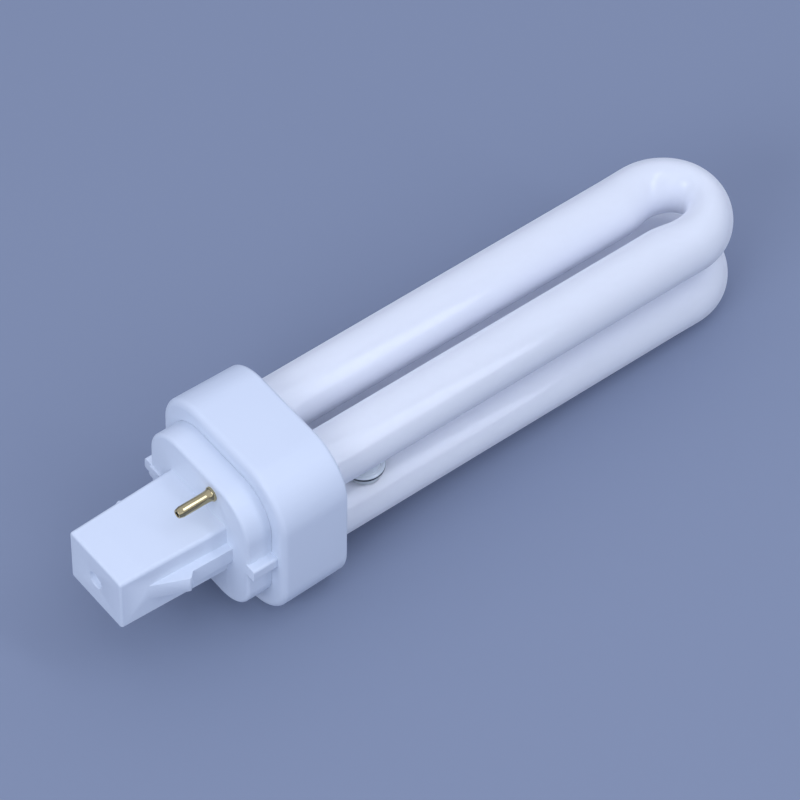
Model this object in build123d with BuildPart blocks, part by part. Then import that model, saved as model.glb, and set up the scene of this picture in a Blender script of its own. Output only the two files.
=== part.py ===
from build123d import *
import os
from math import atan, cos, degrees, pi, radians, sin, tan

os.makedirs("parts", exist_ok=True)

# Two-pin plug-in compact fluorescent lamp, in millimetres.
# +X runs from the cap to the tube bends and +Z is up.
# The origin is the centre of the collar's front face, at the root of the post.

# Glass tubes
tube_diameter = 11.0
leg_spacing = 14.5
bend_centre = 104.2
bend_inset = 0.95
bend_run = 6.0
bend_steps = 6
eye_reach = 5.1
leg_end_chamfer = 2.5
bridge_diameter = 6.2
bridge_place = 30.4
bridge_blend = 0.6
seam_diameter = 7.8
seam_height = 1.2
seam_round = 0.55
seam_drop = 0.5
pinch_width = 7.0
pinch_thickness = 2.4
pinch_edge = 0.8
pinch_length = 3.0
lead_pitch = 3.0

# Housing that holds the four legs
housing_depth = 14.4
housing_front_width = 34.9
housing_rear_width = 34.3
housing_corner = 10.0
shoulder_edge_radius = 1.3
rear_edge_radius = 0.8
housing_wall = 1.5
shoulder_wall = 1.5
rear_wall = 1.6
socket_length = 4.0
socket_wall = 0.9
tube_clearance = 0.15

# Cement behind the sockets, and the leg ends that stand out of it
cement_thickness = 2.0
cement_gap = 0.05
leg_stub = 1.5

# Cap: collar, skirt, snap bars and keys
collar_width = 28.2
collar_height = 5.15
collar_corner = 8.0
collar_edge_radius = 0.7
front_wall = 1.8
seat_step = 0.3
skirt_length = 3.4
skirt_wall = 0.9
skirt_clearance = 0.1
snap_reach = 0.4
snap_width = 9.0
snap_length = 1.0
key_reach = 1.8
key_height = 2.6
key_edge_radius = 0.5
ridge_proud = 0.4

# Post and its two latches
post_length = 21.9
post_root_width = 16.35
post_tip_width = 14.8
post_thickness = 12.3
post_corner = 0.8
post_end_radius = 0.5
post_wall = 1.3
post_end_wall = 2.2
dimple_diameter = 3.6
dimple_depth = 1.0
dimple_draft = 15.0
latch_tip = 16.2
latch_crest = 9.4
latch_crest_reach = 2.8
latch_ledge_reach = 1.65
latch_height = 3.5
latch_edge_radius = 0.4

# Contact pins
pin_diameter = 2.1
pin_tip_diameter = 1.7
pin_tip_taper = 0.9
pin_bore = 1.0
pin_length = 7.4
pin_across = 4.1
pin_up = 11.3
flange_diameter = 2.8
flange_thickness = 0.35
flange_flare = 1.2
shank_diameter = 1.6
shank_fit = 0.02
swage_diameter = 2.1
swage_thickness = 0.5

# Starter and capacitor in the post
starter_diameter = 6.6
starter_length = 15.0
starter_shoulder = 2.0
starter_neck_diameter = 4.0
starter_lead_pitch = 2.0
capacitor_width = 4.0
capacitor_length = 9.0
capacitor_edge = 0.8
capacitor_pitch = 5.0
starter_room = 0.7
seat_clearance = 0.1
end_clearance = 0.3
rib_thickness = 1.2
rib_places = (2.5, 7.5)

# Lead wires
wire_diameter = 0.6
wire_bend = 1.0
wire_gap = 0.02
starter_wire_room = 1.3
pin_wire_room = 2.7
pin_wire_setback = 3.0

# Places worked out from the sizes above
leg_offset = leg_spacing / 2
bend_start = bend_centre - bend_run
bend_reach = leg_offset + tube_diameter / 2
eye_half_width = leg_offset - tube_diameter / 2 + bend_inset
tube_hole = tube_diameter + 2 * tube_clearance
housing_taper = degrees(atan((housing_front_width - housing_rear_width) / 2 / housing_depth))
cavity_front = collar_height + shoulder_wall
cavity_depth = housing_depth - shoulder_wall - rear_wall
cavity_rear = cavity_front + cavity_depth
cavity_corner = housing_corner - housing_wall
socket_front = cavity_rear - socket_length
cement_front = socket_front - cement_thickness
leg_end = cement_front - leg_stub
pinch_end = leg_end - pinch_length

skirt_width = collar_width - 2 * seat_step
skirt_corner = collar_corner - seat_step
skirt_inside = skirt_width - 2 * skirt_wall
opening_width = skirt_width + 2 * skirt_clearance
snap_front = cavity_front + skirt_clearance

post_inside_height = post_thickness - 2 * post_wall
post_cavity_end = post_length - post_end_wall
latch_back = latch_crest - (latch_crest_reach - latch_ledge_reach)
starter_far_end = post_cavity_end - end_clearance
starter_near_end = starter_far_end - starter_length
starter_place = -(starter_room + capacitor_width) / 2
capacitor_place = (starter_room + starter_diameter) / 2
capacitor_near_end = starter_far_end - capacitor_length
rib_height = (post_inside_height - starter_diameter) / 2 - seat_clearance
starter_wire_place = front_wall + starter_wire_room
pin_wire_place = front_wall + pin_wire_room


def post_width(depth):
    return post_root_width - (post_root_width - post_tip_width) * depth / post_length


def bend_section(turn, level):
    half_width = Vector((bend_reach - eye_reach) * cos(turn), (bend_reach - eye_half_width) * sin(turn)) / 2
    middle = Vector((bend_reach + eye_reach) * cos(turn), (bend_reach + eye_half_width) * sin(turn)) / 2
    along = Vector(-half_width.Y, half_width.X)
    section = Plane(middle + Vector(bend_centre, 0, level), x_dir=(0, 0, 1), z_dir=along)
    return section, half_width.length


def cavity_width(place):
    drawn_in = housing_wall + (place - collar_height) * tan(radians(housing_taper))
    return housing_front_width - 2 * drawn_in


# Sealed glass: two U-tubes, one above the other, joined by one bridge, with pinched electrode ends
# Each bend is drawn thinner towards its far end, so the gap between the legs ends in a long eye
with BuildPart() as discharge_tube:
    with BuildSketch(Plane.YZ.offset(leg_end)):
        with GridLocations(leg_spacing, leg_spacing, 2, 2):
            Circle(tube_diameter / 2)
    extrude(amount=bend_start - leg_end)
    chamfer(faces().group_by(Axis.X)[0].edges(), leg_end_chamfer)
    with Locations((bridge_place, -leg_offset, 0)):
        Cylinder(bridge_diameter / 2, leg_spacing)
    fillet(edges().filter_by(GeomType.BSPLINE), bridge_blend)
    with BuildSketch(Plane.XZ.offset(leg_offset)):
        with Locations((bridge_place, -seam_drop)):
            RectangleRounded(seam_diameter, seam_height, seam_round)
        split(bisect_by=Plane.YZ.offset(bridge_place))
    revolve(axis=Axis((bridge_place, -leg_offset, 0), (0, 0, 1)))
    for level in (-leg_offset, leg_offset):
        with BuildSketch(Plane((bend_start, -leg_offset, level), x_dir=(0, 0, 1), z_dir=(1, 0, 0))):
            Ellipse(tube_diameter / 2, tube_diameter / 2)
        for step in range(bend_steps + 1):
            section, half_width = bend_section(pi * (step / bend_steps - 0.5), level)
            with BuildSketch(section):
                Ellipse(tube_diameter / 2, half_width)
        with BuildSketch(Plane((bend_start, leg_offset, level), x_dir=(0, 0, 1), z_dir=(-1, 0, 0))):
            Ellipse(tube_diameter / 2, tube_diameter / 2)
        loft()
    with BuildSketch(Plane.YZ.offset(pinch_end)):
        with Locations((leg_offset, leg_offset), (leg_offset, -leg_offset)):
            RectangleRounded(pinch_width, pinch_thickness, pinch_edge)
    extrude(amount=pinch_length + leg_end_chamfer)
discharge_tube.part.label = "discharge_tube"
export_step(discharge_tube.part, "parts/discharge_tube.step")

# Housing: drafted rounded-square shell with four tube sockets behind its rear wall
with BuildPart() as tube_housing:
    with BuildSketch(Plane.YZ.offset(collar_height)):
        RectangleRounded(housing_front_width, housing_front_width, housing_corner)
    extrude(amount=housing_depth, taper=housing_taper)
    fillet(faces().sort_by(Axis.X)[0].edges(), shoulder_edge_radius)
    fillet(faces().sort_by(Axis.X)[-1].edges(), rear_edge_radius)
    with BuildSketch(Plane.YZ.offset(cavity_front)):
        RectangleRounded(cavity_width(cavity_front), cavity_width(cavity_front), cavity_corner)
    extrude(amount=cavity_depth, taper=housing_taper, mode=Mode.SUBTRACT)
    with BuildSketch(Plane.YZ.offset(collar_height)):
        RectangleRounded(opening_width, opening_width, skirt_corner + skirt_clearance)
    extrude(amount=shoulder_wall, mode=Mode.SUBTRACT)
    with BuildSketch(Plane.YZ.offset(socket_front)):
        with GridLocations(leg_spacing, leg_spacing, 2, 2):
            Circle(tube_hole / 2 + socket_wall)
    extrude(amount=socket_length)
    with BuildSketch(Plane.YZ.offset(socket_front)):
        with GridLocations(leg_spacing, leg_spacing, 2, 2):
            Circle(tube_hole / 2)
    extrude(amount=socket_length + rear_wall, mode=Mode.SUBTRACT)
tube_housing.part.label = "tube_housing"
export_step(tube_housing.part, "parts/tube_housing.step")

# Cement plate that fixes the legs against the socket ends
with BuildPart() as tube_cement:
    with BuildSketch(Plane.YZ.offset(cement_front)):
        cement_width = cavity_width(cement_front) - 2 * cement_gap
        RectangleRounded(cement_width, cement_width, cavity_corner)
    extrude(amount=cement_thickness, taper=housing_taper)
    with BuildSketch(Plane.YZ.offset(cement_front)):
        with GridLocations(leg_spacing, leg_spacing, 2, 2):
            Circle(tube_diameter / 2 + cement_gap)
    extrude(amount=cement_thickness, mode=Mode.SUBTRACT)
tube_cement.part.label = "tube_cement"
export_step(tube_cement.part, "parts/tube_cement.step")

# Cap: collar on the shoulder, skirt and snap bars inside it, keys, and the hollow post with its latches
with BuildPart() as pin_cap:
    with BuildSketch(Plane.YZ):
        RectangleRounded(collar_width, collar_width, collar_corner)
    extrude(amount=collar_height)
    fillet(faces().sort_by(Axis.X)[0].edges(), collar_edge_radius)
    with BuildSketch(Plane.YZ):
        Rectangle(post_root_width, post_thickness)
    with BuildSketch(Plane.YZ.offset(-post_length)):
        Rectangle(post_tip_width, post_thickness)
    loft()
    fillet(edges(Select.LAST).filter_by(Plane.YZ, reverse=True), post_corner)
    fillet(faces().sort_by(Axis.X)[0].edges(), post_end_radius)
    with BuildSketch(Plane.YZ.offset(collar_height)):
        RectangleRounded(skirt_width, skirt_width, skirt_corner)
    extrude(amount=skirt_length)
    with BuildSketch(Plane.YZ.offset(snap_front)):
        Rectangle(skirt_width + 2 * snap_reach, snap_width)
        Rectangle(snap_width, skirt_width + 2 * snap_reach)
    extrude(amount=snap_length)
    with BuildSketch(Plane.YZ):
        RectangleRounded(collar_width + 2 * key_reach, key_height, key_edge_radius)
    extrude(amount=collar_height)
    with BuildSketch(Plane.YZ.offset(-ridge_proud)):
        with Locations((collar_width / 4, 0)):
            RectangleRounded(collar_width / 2, key_height, key_edge_radius)
    extrude(amount=ridge_proud + front_wall)
    with BuildSketch(Plane.YZ.offset(front_wall)):
        RectangleRounded(skirt_inside, skirt_inside, skirt_corner - skirt_wall)
    extrude(amount=collar_height + skirt_length - front_wall, mode=Mode.SUBTRACT)

    with BuildSketch(Plane.XY.offset(-latch_height / 2)):
        for side in (-1, 1):
            with BuildLine():
                Polyline(
                    (-latch_tip, side * post_width(latch_tip) / 2),
                    (-latch_crest, side * (post_width(latch_crest) / 2 + latch_crest_reach)),
                    (-latch_back, side * (post_width(latch_back) / 2 + latch_ledge_reach)),
                    (0, side * (post_root_width / 2 + latch_ledge_reach)),
                    (0, 0),
                    close=True,
                )
            make_face()
        fillet(vertices().group_by(Axis.X)[1], latch_edge_radius)
    extrude(amount=latch_height)
    with BuildSketch(Plane.YZ.offset(front_wall)):
        Rectangle(post_root_width - 2 * post_wall, post_inside_height)
    with BuildSketch(Plane.YZ.offset(-post_cavity_end)):
        Rectangle(post_width(post_cavity_end) - 2 * post_wall, post_inside_height)
    loft(mode=Mode.SUBTRACT)
    for rib_place in rib_places:
        rib_x = rib_place - starter_far_end
        with BuildSketch(Plane.YZ.offset(rib_x)):
            for level in (-1, 1):
                with Locations((0, level * (post_inside_height - rib_height + post_wall) / 2)):
                    Rectangle(post_width(-rib_x) - post_wall, rib_height + post_wall)
        extrude(amount=rib_thickness / 2, both=True)
    with BuildSketch(Plane.YZ.offset(-post_length)):
        Circle(dimple_diameter / 2)
    extrude(amount=dimple_depth, taper=dimple_draft, mode=Mode.SUBTRACT)
    with BuildSketch(Plane.YZ):
        with Locations((-pin_across, pin_up), (pin_across, -pin_up)):
            Circle(shank_diameter / 2 + shank_fit)
    extrude(amount=front_wall, mode=Mode.SUBTRACT)
pin_cap.part.label = "pin_cap"
export_step(pin_cap.part, "parts/pin_cap.step")

# Contact pins: hollow brass rivets, point-symmetric about the lamp's axis
for pin_name, side in (("upper_contact_pin", 1), ("lower_contact_pin", -1)):
    pin_plane = Plane((0, -side * pin_across, side * pin_up), x_dir=(1, 0, 0), z_dir=(0, 0, 1))
    with BuildPart() as contact_pin:
        with BuildSketch(pin_plane):
            with BuildLine():
                Polyline(
                    (-pin_length, pin_bore / 2),
                    (-pin_length, pin_tip_diameter / 2),
                    (pin_tip_taper - pin_length, pin_diameter / 2),
                    (-flange_thickness - flange_flare, pin_diameter / 2),
                    (-flange_thickness, flange_diameter / 2),
                    (0, flange_diameter / 2),
                    (0, shank_diameter / 2),
                    (front_wall, shank_diameter / 2),
                    (front_wall, swage_diameter / 2),
                    (front_wall + swage_thickness, swage_diameter / 2),
                    (front_wall + swage_thickness, pin_bore / 2),
                    close=True,
                )
            make_face()
        revolve(axis=Axis(pin_plane.origin, (1, 0, 0)))
    contact_pin.part.label = pin_name
    export_step(contact_pin.part, f"parts/{pin_name}.step")

# Glow starter: sealed glass with a domed far end and a necked end for its leads
starter_plane = Plane((0, starter_place, 0), x_dir=(1, 0, 0), z_dir=(0, 0, 1))
with BuildPart() as starter_bulb:
    with BuildSketch(starter_plane):
        with BuildLine():
            Polyline(
                (starter_diameter / 2 - starter_far_end, starter_diameter / 2),
                (-starter_near_end - starter_shoulder, starter_diameter / 2),
                (-starter_near_end, starter_neck_diameter / 2),
                (-starter_near_end, 0),
                (-starter_far_end, 0),
            )
            RadiusArc(
                (-starter_far_end, 0),
                (starter_diameter / 2 - starter_far_end, starter_diameter / 2),
                starter_diameter / 2,
            )
        make_face()
    revolve(axis=Axis(starter_plane.origin, (1, 0, 0)))
starter_bulb.part.label = "starter_bulb"
export_step(starter_bulb.part, "parts/starter_bulb.step")

# Interference capacitor: dipped block beside the starter, with leads that reach the starter's wires
with BuildPart() as starter_capacitor:
    with BuildSketch(Plane.YZ.offset(-starter_far_end)):
        with Locations((capacitor_place, 0)):
            RectangleRounded(capacitor_width, starter_diameter, capacitor_edge)
    extrude(amount=capacitor_length)
    with BuildSketch(Plane.YZ.offset(-capacitor_near_end - capacitor_edge)):
        with Locations((capacitor_place, capacitor_pitch / 2), (capacitor_place, -capacitor_pitch / 2)):
            Circle(wire_diameter / 2)
    extrude(amount=capacitor_near_end + capacitor_edge + starter_wire_place - wire_diameter / 2 - wire_gap)
starter_capacitor.part.label = "starter_capacitor"
export_step(starter_capacitor.part, "parts/starter_capacitor.step")

# Lead wires from each electrode: one to its pin, one past the capacitor's lead to the starter
for level_name, side in (("upper", 1), ("lower", -1)):
    pin_route = (
        (pinch_end, leg_offset - lead_pitch / 2, side * leg_offset),
        (pin_wire_place, leg_offset - lead_pitch / 2, side * leg_offset),
        (pin_wire_place, -side * pin_across, side * pin_up),
        (pin_wire_setback - pin_length, -side * pin_across, side * pin_up),
    )
    starter_route = (
        (pinch_end, leg_offset + lead_pitch / 2, side * leg_offset),
        (starter_wire_place, leg_offset + lead_pitch / 2, side * leg_offset),
        (starter_wire_place, capacitor_place, side * capacitor_pitch / 2),
        (starter_wire_place, starter_place, side * starter_lead_pitch / 2),
        (-starter_near_end, starter_place, side * starter_lead_pitch / 2),
    )
    for lead_name, route in (("pin_lead", pin_route), ("starter_lead", starter_route)):
        with BuildPart() as lead_wire:
            with BuildLine():
                FilletPolyline(*route, radius=wire_bend)
            with BuildSketch(Plane(route[0], z_dir=(-1, 0, 0))):
                Circle(wire_diameter / 2)
            sweep()
        lead_wire.part.label = f"{level_name}_{lead_name}"
        export_step(lead_wire.part, f"parts/{level_name}_{lead_name}.step")
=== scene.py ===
import bmesh
import bpy
import math
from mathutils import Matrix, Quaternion, Vector


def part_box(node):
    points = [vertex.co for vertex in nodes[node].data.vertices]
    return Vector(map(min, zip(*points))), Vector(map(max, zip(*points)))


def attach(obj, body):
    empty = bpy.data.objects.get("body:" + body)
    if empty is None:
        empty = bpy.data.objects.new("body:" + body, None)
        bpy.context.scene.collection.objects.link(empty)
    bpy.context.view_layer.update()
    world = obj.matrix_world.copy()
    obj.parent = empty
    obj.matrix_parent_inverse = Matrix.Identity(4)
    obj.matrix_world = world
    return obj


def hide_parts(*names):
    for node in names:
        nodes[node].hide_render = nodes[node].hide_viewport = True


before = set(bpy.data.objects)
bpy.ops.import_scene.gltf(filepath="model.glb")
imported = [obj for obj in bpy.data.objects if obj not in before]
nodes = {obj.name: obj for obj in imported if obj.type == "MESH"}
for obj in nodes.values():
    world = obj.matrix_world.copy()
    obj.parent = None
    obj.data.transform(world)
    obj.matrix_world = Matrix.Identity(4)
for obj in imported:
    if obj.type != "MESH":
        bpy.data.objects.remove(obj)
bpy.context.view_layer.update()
mm = 0.001
weldDistance = 0.0001 * mm  # points nearer than this become one
print("frame loaded with", len(nodes), "nodes")


def smoothStep(t):
    t = min(max(t, 0.0), 1.0)
    return t * t * (3 - 2 * t)


def ringMesh(name, rings, capped=True):
    # joins rings of equal count into one smooth skin
    mesh = bpy.data.meshes.new(name)
    bm = bmesh.new()
    loops = [[bm.verts.new(point) for point in ring] for ring in rings]
    for first, second in zip(loops, loops[1:]):
        for i in range(len(first)):
            j = (i + 1) % len(first)
            bm.faces.new((first[i], first[j], second[j], second[i]))
    if capped:
        bm.faces.new(loops[0][::-1])
        bm.faces.new(loops[-1])
    bmesh.ops.remove_doubles(bm, verts=bm.verts, dist=weldDistance)
    bmesh.ops.recalc_face_normals(bm, faces=bm.faces)
    for face in bm.faces:
        face.smooth = len(face.verts) == 4  # the ends stay flat
    bm.to_mesh(mesh)
    bm.free()
    return mesh


def addPiece(name, mesh, material, replacedNode):
    piece = bpy.data.objects.new(name, mesh)
    bpy.context.scene.collection.objects.link(piece)
    mesh.materials.append(material)
    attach(piece, "root")
    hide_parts(replacedNode)
    return piece


# shader node helpers
mixSockets = {"first": 6, "second": 7, "result": 2}  # places of the colours on a Mix node


def setSockets(node, sockets):
    for label, value in sockets.items():
        node.inputs[label].default_value = value


def addNode(tree, kind, **sockets):
    node = tree.nodes.new(kind)
    setSockets(node, sockets)
    return node


def newGroup(name, inputs, outputs):
    tree = bpy.data.node_groups.new(name, "ShaderNodeTree")
    for label, value in inputs.items():
        socket = tree.interface.new_socket(name=label, in_out="INPUT", socket_type="NodeSocketFloat")
        socket.default_value = value
    for label in outputs:
        tree.interface.new_socket(name=label, in_out="OUTPUT", socket_type="NodeSocketFloat")
    return tree, tree.nodes.new("NodeGroupInput"), tree.nodes.new("NodeGroupOutput")


def useGroup(tree, group, **sockets):
    node = tree.nodes.new("ShaderNodeGroup")
    node.node_tree = group
    setSockets(node, sockets)
    return node


def mixColours(tree, mask, first, second):
    node = tree.nodes.new("ShaderNodeMix")
    node.data_type = "RGBA"
    node.inputs[mixSockets["first"]].default_value = (*first, 1.0)
    node.inputs[mixSockets["second"]].default_value = (*second, 1.0)
    tree.links.new(mask, node.inputs[0])
    return node.outputs[mixSockets["result"]]


def spread(tree, value, low, high):
    node = addNode(tree, "ShaderNodeMapRange", **{"To Min": low, "To Max": high})
    tree.links.new(value, node.inputs["Value"])
    return node.outputs["Result"]


def buildSurfaceGrain():
    # fine height, slow tone drift and a polish mask, all in the lamp's own coordinates
    polishRatio = 6.0  # the polish mask is this much finer than the tone drift
    scales = {"Grain": 3000.0, "Drift": 60.0}
    tree, start, end = newGroup("surfaceGrain", scales, ("Height", "Tone", "Polish"))
    place = tree.nodes.new("ShaderNodeTexCoord")
    fine = addNode(tree, "ShaderNodeTexNoise", Detail=4.0, Roughness=0.6)
    slow = addNode(tree, "ShaderNodeTexNoise", Detail=2.0, Roughness=0.5)
    middle = addNode(tree, "ShaderNodeTexNoise", Detail=3.0, Roughness=0.55)
    between = addNode(tree, "ShaderNodeMath")
    between.operation = "MULTIPLY"
    between.inputs[1].default_value = polishRatio
    tree.links.new(start.outputs["Grain"], fine.inputs["Scale"])
    tree.links.new(start.outputs["Drift"], slow.inputs["Scale"])
    tree.links.new(start.outputs["Drift"], between.inputs[0])
    tree.links.new(between.outputs[0], middle.inputs["Scale"])
    for noise, label in ((fine, "Height"), (slow, "Tone"), (middle, "Polish")):
        tree.links.new(place.outputs["Object"], noise.inputs["Vector"])
        tree.links.new(noise.outputs["Fac"], end.inputs[label])
    return tree


surfaceGrain = buildSurfaceGrain()


def grainBump(tree, height, strength, distance):
    bump = addNode(tree, "ShaderNodeBump", Strength=strength, Distance=distance)
    tree.links.new(height, bump.inputs["Height"])
    return bump.outputs["Normal"]


def finish(name, look):
    # one recipe for the plain finishes: two near tones, a polish range and a fine bump
    material = bpy.data.materials.new(name)
    material.use_nodes = True
    tree = material.node_tree
    shader = tree.nodes["Principled BSDF"]
    grain = useGroup(tree, surfaceGrain, Grain=look["grain"], Drift=look["drift"])
    colour = mixColours(tree, grain.outputs["Tone"], look["tone"], look["otherTone"])
    tree.links.new(colour, shader.inputs["Base Color"])
    tree.links.new(spread(tree, grain.outputs["Polish"], *look["roughness"]), shader.inputs["Roughness"])
    normal = grainBump(tree, grain.outputs["Height"], look["bump"], look["bumpDepth"])
    tree.links.new(normal, shader.inputs["Normal"])
    setSockets(shader, look["shader"])
    return material


# white moulded plastic of the housing and cap
plasticLook = {
    "tone": (0.755, 0.81, 0.885),
    "otherTone": (0.78, 0.835, 0.90),
    "grain": 5200.0,
    "drift": 70.0,
    "roughness": (0.36, 0.46),
    "bump": 0.08,
    "bumpDepth": 0.03 * mm,
    "shader": {"IOR": 1.48},
}
plastic = finish("satinMouldedPlastic", plasticLook)

# white powder coat seen through clear glass
coatLook = {
    "tone": (0.87, 0.89, 0.99),
    "otherTone": (0.885, 0.905, 0.993),
    "grain": 2600.0,
    "drift": 90.0,
    "roughness": (0.5, 0.6),
    "bump": 0.02,
    "bumpDepth": 0.02 * mm,
    "shader": {"Specular IOR Level": 0.0, "Coat Weight": 0.7, "Coat Roughness": 0.06, "Coat IOR": 1.5,
               "Subsurface Weight": 1.0, "Subsurface Scale": 1.3 * mm, "Subsurface Radius": (1.0, 1.0, 1.0)},
}
tubeCoat = finish("coatedTubeGlass", coatLook)
rimGloss = {"fadeFrom": 0.6, "fadeTo": 0.8}  # 0 faces the viewer, 1 is edge on


def fadeRimGloss(material):
    # the gloss gives way towards the rim, so that no bright line edges the tubes
    tree = material.node_tree
    gloss = tree.nodes["Principled BSDF"].inputs["Coat Weight"]
    lean = addNode(tree, "ShaderNodeLayerWeight", Blend=0.5)
    limits = {"From Min": rimGloss["fadeFrom"], "From Max": rimGloss["fadeTo"]}
    fade = addNode(tree, "ShaderNodeMapRange", **limits, **{"To Min": gloss.default_value, "To Max": 0.0})
    tree.links.new(lean.outputs["Facing"], fade.inputs["Value"])
    tree.links.new(fade.outputs["Result"], gloss)


fadeRimGloss(tubeCoat)

brassLook = {
    "tone": (0.44, 0.36, 0.19),
    "otherTone": (0.60, 0.50, 0.28),
    "grain": 7000.0,
    "drift": 320.0,
    "roughness": (0.06, 0.13),
    "bump": 0.05,
    "bumpDepth": 0.01 * mm,
    "shader": {"Metallic": 1.0},
}
pinBrass = finish("turnedBrass", brassLook)

cementLook = {
    "tone": (0.70, 0.68, 0.62),
    "otherTone": (0.80, 0.78, 0.73),
    "grain": 2400.0,
    "drift": 400.0,
    "roughness": (0.8, 0.95),
    "bump": 0.6,
    "bumpDepth": 0.1 * mm,
    "shader": {},
}
starterLook = {
    "tone": (0.78, 0.84, 0.84),
    "otherTone": (0.86, 0.90, 0.90),
    "grain": 900.0,
    "drift": 200.0,
    "roughness": (0.03, 0.08),
    "bump": 0.03,
    "bumpDepth": 0.05 * mm,
    "shader": {"Transmission Weight": 0.85, "IOR": 1.5},
}
capacitorLook = {
    "tone": (0.03, 0.07, 0.22),
    "otherTone": (0.05, 0.10, 0.28),
    "grain": 1500.0,
    "drift": 300.0,
    "roughness": (0.18, 0.3),
    "bump": 0.15,
    "bumpDepth": 0.1 * mm,
    "shader": {"Coat Weight": 0.4},
}
wireLook = {
    "tone": (0.60, 0.60, 0.62),
    "otherTone": (0.72, 0.72, 0.73),
    "grain": 5000.0,
    "drift": 500.0,
    "roughness": (0.25, 0.4),
    "bump": 0.1,
    "bumpDepth": 0.02 * mm,
    "shader": {"Metallic": 1.0},
}
innerFinishes = {
    "tube_cement": finish("grainyCement", cementLook),
    "starter_bulb": finish("starterGlass", starterLook),
    "starter_capacitor": finish("dippedCoating", capacitorLook),
}
tinnedWire = finish("tinnedWire", wireLook)
for name in nodes:
    if name.endswith("_lead"):
        innerFinishes[name] = tinnedWire
for name, material in innerFinishes.items():
    nodes[name].material_slots[0].material = material
print("finishes built")

# the two U-shaped tubes
tubeGlass = {
    "diameter": 11.0 * mm,
    "legSpacing": 14.5 * mm,
    "bendCentre": 104.2 * mm,
    "bendInset": 0.95 * mm,  # the inner side of a bend is drawn in by this much
    "bendRun": 6.0 * mm,  # length of leg over which that starts
    "eyeReach": 5.1 * mm,  # from the bend's centre to the far end of the eye
    "endChamfer": 2.5 * mm,
    "pinchLength": 3.0 * mm,  # flat seal at the end of each far leg, where its leads come out
    "pinchWidth": 7.0 * mm,
    "pinchThickness": 2.4 * mm,
    "pinchEdge": 0.8 * mm,
    "wall": 1.0 * mm,  # glass and coat, round a hollow that spreads the light
    "around": 80,
    "bendSteps": 60,
    "runSteps": 12,
    "legSteps": 20,
}
legLevel = tubeGlass["legSpacing"] / 2  # from the lamp's axis to a leg's middle, across and up


def tubeRing(along, across, outward, level, half, height):
    # an oval of glass: half is its reach along the outward direction
    ring = []
    for i in range(tubeGlass["around"]):
        turn = math.tau * i / tubeGlass["around"]
        reach = half * math.cos(turn)
        rise = height * math.sin(turn)
        ring.append((along + outward[0] * reach, across + outward[1] * reach, level + rise))
    return ring


def uTubeRings(level, inset):
    # one skin of the tube, this far inside its outer one
    radius = tubeGlass["diameter"] / 2
    rim = legLevel + radius  # outermost line of the tube
    bend = tubeGlass["bendCentre"]
    run = tubeGlass["bendRun"]
    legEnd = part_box("discharge_tube")[0].x + tubeGlass["pinchLength"]
    legStart = legEnd + tubeGlass["endChamfer"]
    steps = tubeGlass["legSteps"]
    places = [legStart + (bend - run - legStart) * i / steps for i in range(steps)]
    places += [bend - run + run * i / tubeGlass["runSteps"] for i in range(tubeGlass["runSteps"] + 1)]
    leg = [(legEnd, radius, 1 - tubeGlass["endChamfer"] / radius)]
    for place in places:
        drawnIn = tubeGlass["bendInset"] * smoothStep((place - bend + run) / run)
        leg.append((place, radius - drawnIn / 2, 1.0))
    rings = [tubeRing(place, half - rim, (0, -1), level, (half - inset) * scale, (radius - inset) * scale)
             for place, half, scale in leg]
    eyeHalf = legLevel - radius + tubeGlass["bendInset"]
    for i in range(1, tubeGlass["bendSteps"]):
        turn = math.pi * i / tubeGlass["bendSteps"] - math.pi / 2
        inner = Vector((tubeGlass["eyeReach"] * math.cos(turn), eyeHalf * math.sin(turn)))
        outer = Vector((rim * math.cos(turn), rim * math.sin(turn)))
        middle = (inner + outer) / 2
        outward = (outer - inner).normalized()
        half = (outer - inner).length / 2
        rings.append(tubeRing(bend + middle.x, middle.y, outward, level, half - inset, radius - inset))
    rings += [tubeRing(place, rim - half, (0, 1), level, (half - inset) * scale, (radius - inset) * scale)
              for place, half, scale in reversed(leg)]
    return rings


def hollowTube(name, level):
    outer = uTubeRings(level, 0.0)
    inner = uTubeRings(level, tubeGlass["wall"])
    return ringMesh(name, outer + inner[::-1] + outer[:1], capped=False)


def pinchSeal(name, level):
    # flat bar with rounded edges, run into the end of the leg
    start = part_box("discharge_tube")[0].x
    edge = tubeGlass["pinchEdge"]
    ring = []
    for i in range(tubeGlass["around"]):
        turn = math.tau * (i + 0.5) / tubeGlass["around"]
        across = math.copysign(tubeGlass["pinchWidth"] / 2 - edge, math.cos(turn)) + edge * math.cos(turn)
        up = math.copysign(tubeGlass["pinchThickness"] / 2 - edge, math.sin(turn)) + edge * math.sin(turn)
        ring.append((across + legLevel, up + level))
    ends = (start, start + tubeGlass["pinchLength"] + tubeGlass["endChamfer"] / 2)
    return ringMesh(name, [[(end, *point) for point in ring] for end in ends])


for name, level in (("upper", legLevel), ("lower", -legLevel)):
    addPiece(name + "Tube", hollowTube(name + "Tube", level), tubeCoat, "discharge_tube")
    addPiece(name + "Pinch", pinchSeal(name + "Pinch", level), tubeCoat, "discharge_tube")
print("tubes built")

# clear glass neck that joins the two tubes near the housing, with a fused seam round it and painted shade
# along the seam's lower side
bridgeNeck = {
    "place": 30.4 * mm,
    "diameter": 6.2 * mm,
    "flare": 0.75 * mm,  # the neck widens by this much where it meets each tube
    "flareHeight": 0.9 * mm,
    "seamDiameter": 7.8 * mm,
    "seamHeight": 1.2 * mm,
    "seamDrop": 0.5 * mm,  # the seam lies this far below the middle
    "sunk": 0.12 * mm,  # its ends reach this far into the tubes
    "around": 72,
    "seamSteps": 8,
    "neckSteps": 14,
}


def tubeUnderside(offset):
    # lower side of the upper tube, this far to the side of its middle
    radius = tubeGlass["diameter"] / 2
    return legLevel - math.sqrt(radius * radius - offset * offset)


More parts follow.
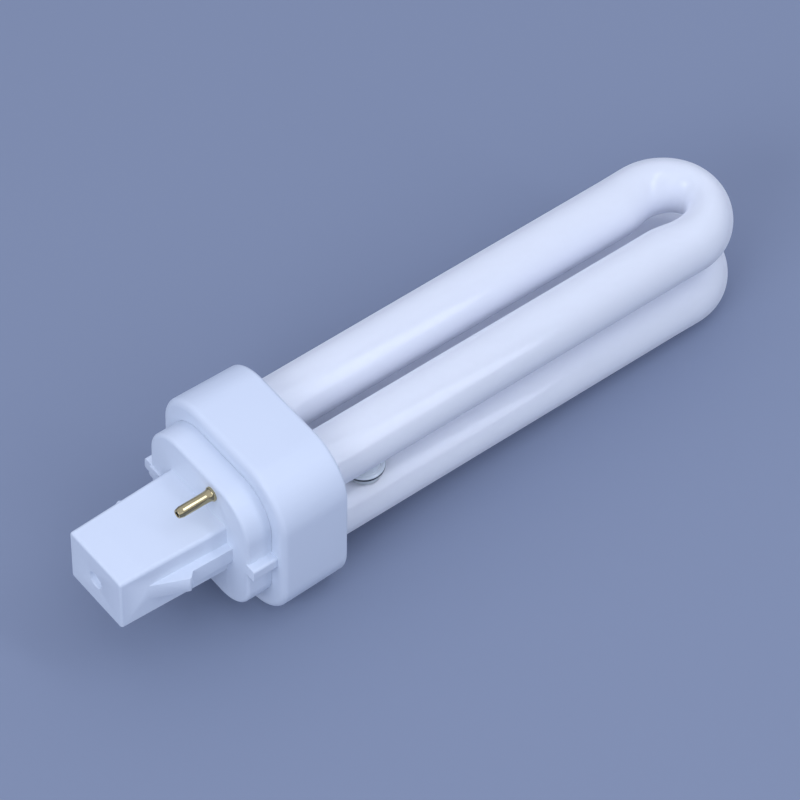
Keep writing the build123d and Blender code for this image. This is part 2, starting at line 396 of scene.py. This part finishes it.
def neckLine(turn, side):
    # heights and radii from the seam's middle to the upper tube (side 1) or the lower one (side -1)
    half = bridgeNeck["seamHeight"] / 2
    neck = bridgeNeck["diameter"] / 2
    top = tubeUnderside((neck + bridgeNeck["flare"]) * math.sin(turn)) + bridgeNeck["sunk"]
    top += side * bridgeNeck["seamDrop"]
    line = []
    for i in range(bridgeNeck["seamSteps"]):
        lean = math.pi / 2 * i / (bridgeNeck["seamSteps"] - 1)
        line.append((half * math.sin(lean), bridgeNeck["seamDiameter"] / 2 - half * (1 - math.cos(lean))))
    for i in range(bridgeNeck["neckSteps"] + 1):
        height = half + (top - half) * i / bridgeNeck["neckSteps"]
        near = min(max(1 - (top - height) / bridgeNeck["flareHeight"], 0.0), 1.0)
        line.append((height, neck + bridgeNeck["flare"] * (1 - math.sqrt(1 - near * near))))
    return line


def neckRings():
    turns = [math.tau * i / bridgeNeck["around"] for i in range(bridgeNeck["around"])]
    last = bridgeNeck["seamSteps"] + bridgeNeck["neckSteps"]
    rings = []
    for side, steps in ((-1, range(last, 0, -1)), (1, range(last + 1))):
        lines = [neckLine(turn, side) for turn in turns]
        for step in steps:
            ring = []
            for turn, line in zip(turns, lines):
                height, radius = line[step]
                along = bridgeNeck["place"] + radius * math.cos(turn)
                across = radius * math.sin(turn) - legLevel
                ring.append((along, across, side * height - bridgeNeck["seamDrop"]))
            rings.append(ring)
    return rings


neckLook = {
    "tone": (0.78, 0.85, 0.82),
    "otherTone": (0.87, 0.92, 0.90),
    "grain": 900.0,
    "drift": 260.0,
    "roughness": (0.05, 0.12),
    "bump": 0.05,
    "bumpDepth": 0.05 * mm,
    "shader": {"IOR": 1.5, "Coat Weight": 1.0, "Coat Roughness": 0.02, "Subsurface Weight": 0.7,
               "Subsurface Scale": 4.0 * mm, "Subsurface Radius": (1.0, 1.0, 1.0)},
}


def buildHeightBand():
    # mask that is 1 between two heights in the lamp's own coordinates
    tree, start, end = newGroup("heightBand", {"Low": -mm, "High": mm, "Soft": 0.2 * mm}, ("Mask",))
    place = tree.nodes.new("ShaderNodeTexCoord")
    split = tree.nodes.new("ShaderNodeSeparateXYZ")
    tree.links.new(place.outputs["Object"], split.inputs[0])
    sides = []
    for terms in (("Z", "Low"), ("High", "Z")):
        above = tree.nodes.new("ShaderNodeMath")
        above.operation = "SUBTRACT"
        share = tree.nodes.new("ShaderNodeMath")
        share.operation = "DIVIDE"
        share.use_clamp = True
        for i, name in enumerate(terms):
            source = split.outputs["Z"] if name == "Z" else start.outputs[name]
            tree.links.new(source, above.inputs[i])
        tree.links.new(above.outputs[0], share.inputs[0])
        tree.links.new(start.outputs["Soft"], share.inputs[1])
        sides.append(share.outputs[0])
    both = tree.nodes.new("ShaderNodeMath")
    both.operation = "MULTIPLY"
    for i, side in enumerate(sides):
        tree.links.new(side, both.inputs[i])
    tree.links.new(both.outputs[0], end.inputs["Mask"])
    return tree


heightBand = buildHeightBand()
# painted shade under the seam: the dark band's heights round the seam's middle, its soft edge and its colour
seamPaintedShade = {"below": 0.64 * mm, "above": 0.3 * mm, "soft": 0.08 * mm, "tone": (0.012, 0.022, 0.026)}
neckGlass = finish("clearNeckGlass", neckLook)


def paintSeamShade():
    # painted shade: a dark line along the fused seam's lower side, standing in for the dark refraction and
    # shade at the seam's rim
    tree = neckGlass.node_tree
    shader = tree.nodes["Principled BSDF"]
    middle = -bridgeNeck["seamDrop"]
    band = useGroup(tree, heightBand, Low=middle - seamPaintedShade["below"], High=middle + seamPaintedShade["above"],
                    Soft=seamPaintedShade["soft"])
    plain = shader.inputs["Base Color"].links[0].from_socket
    paintedShade = mixColours(tree, band.outputs["Mask"], (0, 0, 0), seamPaintedShade["tone"])
    tree.links.new(plain, paintedShade.node.inputs[mixSockets["first"]])
    tree.links.new(paintedShade, shader.inputs["Base Color"])


paintSeamShade()
addPiece("bridgeNeck", ringMesh("bridgeNeck", neckRings()), neckGlass, "discharge_tube")
print("bridge built")

# hollow brass contact pins
contactPin = {
    "length": 7.4 * mm,
    "radius": 1.05 * mm,
    "bore": 0.5 * mm,
    "tipRadius": 0.85 * mm,
    "tipTaper": 0.9 * mm,
    "tipRound": 0.15 * mm,
    "tipTurn": 110.0,  # angle at which the tip's round meets its taper
    "flangeRadius": 1.4 * mm,
    "flangeThickness": 0.35 * mm,
    "flare": 1.2 * mm,
    "shankRadius": 0.8 * mm,
    "shankLength": 1.8 * mm,
    "swageRadius": 1.05 * mm,
    "swageThickness": 0.5 * mm,
    "sharpAngle": 40.0,
    "around": 64,
    "arcSteps": 8,
}


def arc(centre, radiusAlong, radiusAcross, fromDegrees, toDegrees):
    points = []
    for i in range(contactPin["arcSteps"] + 1):
        turn = math.radians(fromDegrees + (toDegrees - fromDegrees) * i / contactPin["arcSteps"])
        points.append((centre[0] + radiusAlong * math.cos(turn), centre[1] + radiusAcross * math.sin(turn)))
    return points


def pinProfile():
    pin = contactPin
    tip = pin["tipRound"]
    flangeTop = -pin["flangeThickness"]
    swageEnd = pin["shankLength"] + pin["swageThickness"]
    profile = [(swageEnd, pin["bore"]), (tip - pin["length"], pin["bore"])]
    profile += arc((tip - pin["length"], pin["bore"] + tip), tip, tip, 270, 180)
    profile += arc((tip - pin["length"], pin["tipRadius"] - tip), tip, tip, 180, pin["tipTurn"])
    taperEnd = pin["tipTaper"] - pin["length"]
    profile += [(taperEnd, pin["radius"]), (taperEnd + tip, pin["radius"])]
    reach = pin["flangeRadius"] - pin["radius"]
    profile += arc((flangeTop - pin["flare"], pin["flangeRadius"]), pin["flare"], reach, 270, 360)
    profile += [(0.0, pin["flangeRadius"]), (0.0, pin["shankRadius"])]
    profile += [(pin["shankLength"], pin["shankRadius"]), (pin["shankLength"], pin["swageRadius"])]
    profile += [(swageEnd, pin["swageRadius"])]
    return profile


def pinMesh(name, node):
    low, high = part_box(node)
    middle = (low + high) / 2
    rings = []
    for along, radius in pinProfile():
        rings.append([(along, middle.y + radius * math.cos(math.tau * i / contactPin["around"]),
                       middle.z + radius * math.sin(math.tau * i / contactPin["around"]))
                      for i in range(contactPin["around"])])
    rings.append(rings[0])
    return ringMesh(name, rings, capped=False)


for name, node in (("upperPin", "upper_contact_pin"), ("lowerPin", "lower_contact_pin")):
    mesh = pinMesh(name, node)
    mesh.set_sharp_from_angle(angle=math.radians(contactPin["sharpAngle"]))
    addPiece(name, mesh, pinBrass, node)
print("pins built")

# moulded pieces: the solids' own skin with softened edges
softEdge = {"width": 0.3 * mm, "segments": 3, "angle": 32.0, "flatAngle": 0.4, "weld": 0.0005 * mm}


def softenedCopy(name, node):
    mesh = bpy.data.meshes.new(name)
    bm = bmesh.new()
    bm.from_mesh(nodes[node].data)
    bmesh.ops.remove_doubles(bm, verts=bm.verts, dist=softEdge["weld"])
    flat = math.radians(softEdge["flatAngle"])  # facets within this angle become one face
    bmesh.ops.dissolve_limit(bm, angle_limit=flat, verts=bm.verts, edges=bm.edges)
    for face in bm.faces:
        face.smooth = True
    bm.to_mesh(mesh)
    bm.free()
    return mesh


def softenEdges(piece):
    bevel = piece.modifiers.new("softEdge", "BEVEL")
    bevel.width = softEdge["width"]
    bevel.segments = softEdge["segments"]
    bevel.limit_method = "ANGLE"
    bevel.angle_limit = math.radians(softEdge["angle"])
    bevel.harden_normals = True
    bevel.use_clamp_overlap = True


for name, node in (("housingShell", "tube_housing"), ("capMoulding", "pin_cap")):
    piece = addPiece(name, softenedCopy(name, node), plastic, node)
    softenEdges(piece)
print("mouldings built")

# floor, set at the slope at which the lamp comes to rest on it
floorPlane = {"side": 8.0, "settlePasses": 6}  # metres, and passes that find the slope
floorLook = {
    "tone": (0.25, 0.29, 0.385),
    "otherTone": (0.26, 0.30, 0.395),
    "grain": 1200.0,
    "drift": 9.0,
    "roughness": (0.55, 0.65),
    "bump": 0.0,  # left smooth
    "bumpDepth": 0.02 * mm,
    "shader": {"IOR": 1.3},
}


def restLine():
    # the line that touches the housing and the lower bend from below
    slope = 0.0
    for _ in range(floorPlane["settlePasses"]):
        touch = []
        for name in ("tube_housing", "discharge_tube"):
            points = [v.co for v in nodes[name].data.vertices]
            touch.append(min(points, key=lambda p: p.z - slope * p.x))
        slope = (touch[1].z - touch[0].z) / (touch[1].x - touch[0].x)
    return touch[0], slope


def buildFloor():
    touch, slope = restLine()
    mesh = bpy.data.meshes.new("floor")
    reach = floorPlane["side"] / 2
    corners = [(x * reach, y * reach, 0) for x, y in ((-1, -1), (1, -1), (1, 1), (-1, 1))]
    mesh.from_pydata(corners, [], [(0, 1, 2, 3)])
    mesh.materials.append(finish("paleFloor", floorLook))
    floor = bpy.data.objects.new("floor", mesh)
    floor.location = touch
    floor.rotation_euler = (0, -math.atan(slope), 0)
    bpy.context.scene.collection.objects.link(floor)
    print("floor slope in degrees:", round(math.degrees(math.atan(slope)), 2))


buildFloor()

# soft studio light: a dome that dims towards the horizon, three wide lights and two strips for the gloss
studio = {
    "dome": {"zenith": (0.65, 0.71, 0.91), "horizon": (0.14, 0.165, 0.25), "fullAt": 0.72},
    "overhead": {"place": (0.05, -0.40, 1.15), "aim": (0.05, 0.0, 0.0), "size": (1.0, 1.0), "power": 0.42,
                 "lean": 0.0},
    "fill": {"place": (-1.05, -0.28, 0.62), "aim": (0.0, 0.0, 0.0), "size": (0.7, 0.55), "power": 5.15,
             "lean": 0.0},
    "strip": {"place": (0.315, -0.5, 0.45), "aim": (0.04, 0.0, 0.005), "size": (0.10, 0.62), "power": 0.64,
              "lean": -12.5},
    "glint": {"place": (0.32, -0.21, 0.81), "aim": (0.0, 0.0, 0.01), "size": (0.10, 0.40), "power": 0.38,
              "lean": -56.5},
    "side": {"place": (-0.168, -0.747, 0.429), "aim": (0.104, 0.0, 0.007), "size": (0.5, 0.35), "power": 0.31,
             "lean": 0.0},
    "colour": (0.785, 0.85, 1.0),
}


def buildLight(name):
    look = studio[name]
    lamp = bpy.data.lights.new(name, "AREA")
    lamp.shape = "RECTANGLE"
    lamp.size, lamp.size_y = look["size"]
    lamp.energy = look["power"]
    lamp.color = studio["colour"]
    light = bpy.data.objects.new(name, lamp)
    light.location = look["place"]
    facing = (Vector(look["aim"]) - Vector(look["place"])).to_track_quat("-Z", "Y")
    light.rotation_euler = (facing @ Quaternion((0, 0, 1), math.radians(look["lean"]))).to_euler()
    bpy.context.scene.collection.objects.link(light)


def buildDome():
    world = bpy.data.worlds.new("softDome")
    world.use_nodes = True
    tree = world.node_tree
    place = tree.nodes.new("ShaderNodeTexCoord")
    split = tree.nodes.new("ShaderNodeSeparateXYZ")
    rise = addNode(tree, "ShaderNodeMapRange", **{"From Max": studio["dome"]["fullAt"]})
    rise.interpolation_type = "SMOOTHSTEP"
    tree.links.new(place.outputs["Generated"], split.inputs[0])
    tree.links.new(split.outputs["Z"], rise.inputs["Value"])
    sky = mixColours(tree, rise.outputs["Result"], studio["dome"]["horizon"], studio["dome"]["zenith"])
    tree.links.new(sky, tree.nodes["Background"].inputs["Color"])
    bpy.context.scene.world = world


buildDome()
for name in ("overhead", "fill", "side", "strip", "glint"):
    buildLight(name)
print("lights built")

# camera at the photograph's angle
photoView = {
    "place": (-284.78 * mm, -404.94 * mm, 634.63 * mm),
    "turn": (39.412, -0.897, -37.994),
    "lens": 209.275,
    "sensor": 36.0,
}
camera = bpy.data.objects.new("camera", bpy.data.cameras.new("camera"))
camera.data.lens = photoView["lens"]
camera.data.sensor_width = photoView["sensor"]
camera.location = photoView["place"]
camera.rotation_euler = [math.radians(angle) for angle in photoView["turn"]]
bpy.context.scene.collection.objects.link(camera)
bpy.context.scene.camera = camera
bpy.context.scene.view_settings.view_transform = "Standard"
print("camera set")
